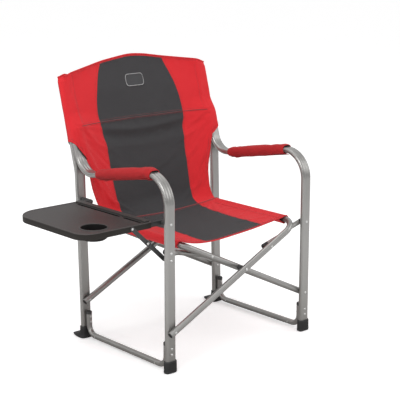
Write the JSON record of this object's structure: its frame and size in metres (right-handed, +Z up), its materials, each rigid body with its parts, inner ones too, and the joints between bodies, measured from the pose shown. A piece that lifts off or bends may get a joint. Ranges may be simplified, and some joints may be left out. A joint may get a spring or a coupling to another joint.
{
  "type": "folding director chair with side table",
  "caption": "Folding camp director chair: tube side frames joined by a scissor frame, red and grey fabric seat and back, padded armrests, and a fold-down side table with a cup holder.",
  "frame": {"origin": "on the floor, under the middle of the overall outline with the side table up", "axes": "+Z up, the sitter faces -Y, +X is the sitter's left; the side table is on the -X side"},
  "size_m": [0.8756, 0.5628, 0.88],
  "materials": {
    "frame_silver": "satin",
    "steel": "bright",
    "black_plastic": "matte",
    "table_plastic": "fine grained",
    "black_bar": "satin",
    "red_fabric": "woven",
    "grey_fabric": "woven"
  },
  "bodies": {
    "frame_left": {"arm_leg_tube_left": "frame_silver", "rear_post_left": "frame_silver", "floor_rail_left": "frame_silver", "foot_front_left": "black_plastic", "foot_rear_left": "black_plastic", "armrest_pad_left": "red_fabric", "rail_rivet_front_left": "steel", "rail_rivet_rear_left": "steel", "pivot_bolt_a_front": "steel", "pivot_bolt_a_rear": "steel", "link_rivet_front_left": "steel", "link_rivet_rear_left": "steel", "table_hinge_pin_front": "steel", "table_hinge_pin_rear": "steel", "table_spacer_front": "black_plastic", "table_spacer_rear": "black_plastic", "brace_spacer": "black_plastic", "brace_foot_pin": "steel"},
    "frame_right": {"arm_leg_tube_right": "frame_silver", "rear_post_right": "frame_silver", "floor_rail_right": "frame_silver", "foot_front_right": "black_plastic", "foot_rear_right": "black_plastic", "armrest_pad_right": "red_fabric", "rail_rivet_front_right": "steel", "rail_rivet_rear_right": "steel", "pivot_bolt_b_front": "steel", "pivot_bolt_b_rear": "steel", "link_rivet_front_right": "steel", "link_rivet_rear_right": "steel"},
    "cross_a": {"cross_tube_a": "frame_silver", "tube_plug_a_front": "black_plastic", "tube_plug_a_rear": "black_plastic", "scissor_bolt_front": "steel", "scissor_bolt_rear": "steel", "scissor_spacer_front": "black_plastic", "scissor_spacer_rear": "black_plastic", "link_bolt_a_front": "steel", "link_bolt_a_rear": "steel"},
    "cross_b": {"cross_tube_b": "frame_silver", "tube_plug_b_front": "black_plastic", "tube_plug_b_rear": "black_plastic", "link_bolt_b_front": "steel", "link_bolt_b_rear": "steel"},
    "link_front_left": {"link_front_left": "frame_silver"},
    "link_rear_left": {"link_rear_left": "frame_silver"},
    "link_front_right": {"link_front_right": "frame_silver"},
    "link_rear_right": {"link_rear_right": "frame_silver"},
    "seat_left": {"seat_left": "grey_fabric"},
    "seat_right": {"seat_right": "grey_fabric"},
    "back_left": {"back_left": "red_fabric"},
    "back_right": {"back_right": "red_fabric"},
    "table": {"table_top": "table_plastic", "table_arm_front": "black_bar", "table_arm_rear": "black_bar", "table_rivet_rear": "steel", "brace_top_pin": "steel"},
    "brace_lower": {"brace_lower": "black_bar", "brace_mid_rivet": "steel"},
    "brace_upper": {"brace_upper": "black_bar"}
  },
  "joints": [
    {"name": "fold", "type": "hinge", "parent": "frame_left", "child": "cross_a", "pos_m": [-0.15375, -0.04188, 0.13], "axis": [0, -1, 0], "range_deg": [0, 36], "deforming": ["seat_left", "seat_right", "back_left", "back_right"]},
    {"name": "scissor", "type": "hinge", "parent": "cross_a", "child": "cross_b", "pos_m": [0.12925, -0.04188, 0.26754], "axis": [0, -1, 0], "range_deg": [-72, 0]},
    {"name": "frame_right_pivot", "type": "hinge", "parent": "cross_b", "child": "frame_right", "pos_m": [0.41225, -0.04188, 0.13], "axis": [0, -1, 0], "range_deg": [0, 36]},
    {"name": "link_front_left_pivot", "type": "hinge", "parent": "frame_left", "child": "link_front_left", "pos_m": [-0.15375, -0.04188, 0.366], "axis": [0, -1, 0], "range_deg": [0, 72.88]},
    {"name": "link_rear_left_pivot", "type": "hinge", "parent": "frame_left", "child": "link_rear_left", "pos_m": [-0.15375, -0.04188, 0.366], "axis": [0, -1, 0], "range_deg": [0, 72.88]},
    {"name": "link_front_right_pivot", "type": "hinge", "parent": "frame_right", "child": "link_front_right", "pos_m": [0.41225, -0.04188, 0.366], "axis": [0, -1, 0], "range_deg": [-72.88, 0]},
    {"name": "link_rear_right_pivot", "type": "hinge", "parent": "frame_right", "child": "link_rear_right", "pos_m": [0.41225, -0.04188, 0.366], "axis": [0, -1, 0], "range_deg": [-72.88, 0]},
    {"name": "seat_left_sleeve", "type": "hinge", "parent": "cross_b", "child": "seat_left", "pos_m": [-0.09675, -0.04188, 0.37737], "axis": [0, -1, 0], "range_deg": [-22.44, 0]},
    {"name": "seat_crease", "type": "hinge", "parent": "seat_left", "child": "seat_right", "pos_m": [0.12925, -0.04188, 0.37737], "axis": [0, -1, 0], "range_deg": [0, 116.89]},
    {"name": "back_left_sleeve", "type": "hinge", "parent": "frame_left", "child": "back_left", "pos_m": [-0.15375, 0.2077, 0.633], "axis": [0, 0.2588, 0.9659], "range_deg": [0, 58.44]},
    {"name": "back_crease", "type": "hinge", "parent": "back_left", "child": "back_right", "pos_m": [0.12925, 0.2077, 0.633], "axis": [0, 0.2588, 0.9659], "range_deg": [-116.89, 0]},
    {"name": "table_fold", "type": "hinge", "parent": "frame_left", "child": "table", "pos_m": [-0.15375, -0.04188, 0.452], "axis": [0, -1, 0], "range_deg": [0, 90]},
    {"name": "brace_lower_pivot", "type": "hinge", "parent": "frame_left", "child": "brace_lower", "pos_m": [-0.15375, -0.04188, 0.344], "axis": [0, -1, 0], "range_deg": [0, 133.46]},
    {"name": "brace_upper_pivot", "type": "hinge", "parent": "table", "child": "brace_upper", "pos_m": [-0.26775, -0.04188, 0.452], "axis": [0, -1, 0], "range_deg": [-136.56, 0]}
  ],
  "couplings": [
    {"joint": "scissor", "follows": "fold", "ratio": -2},
    {"joint": "frame_right_pivot", "follows": "fold", "ratio": 1},
    {"joint": "link_front_left_pivot", "follows": "fold", "ratio": 2.0243},
    {"joint": "link_rear_left_pivot", "follows": "fold", "ratio": 2.0243},
    {"joint": "link_front_right_pivot", "follows": "fold", "ratio": -2.0243},
    {"joint": "link_rear_right_pivot", "follows": "fold", "ratio": -2.0243},
    {"joint": "seat_left_sleeve", "follows": "fold", "ratio": -0.6234},
    {"joint": "seat_crease", "follows": "fold", "ratio": 3.2468},
    {"joint": "back_left_sleeve", "follows": "fold", "ratio": 1.6234},
    {"joint": "back_crease", "follows": "fold", "ratio": -3.2468},
    {"joint": "brace_lower_pivot", "follows": "table_fold", "ratio": 1.4828},
    {"joint": "brace_upper_pivot", "follows": "table_fold", "ratio": -1.5172}
  ]
}
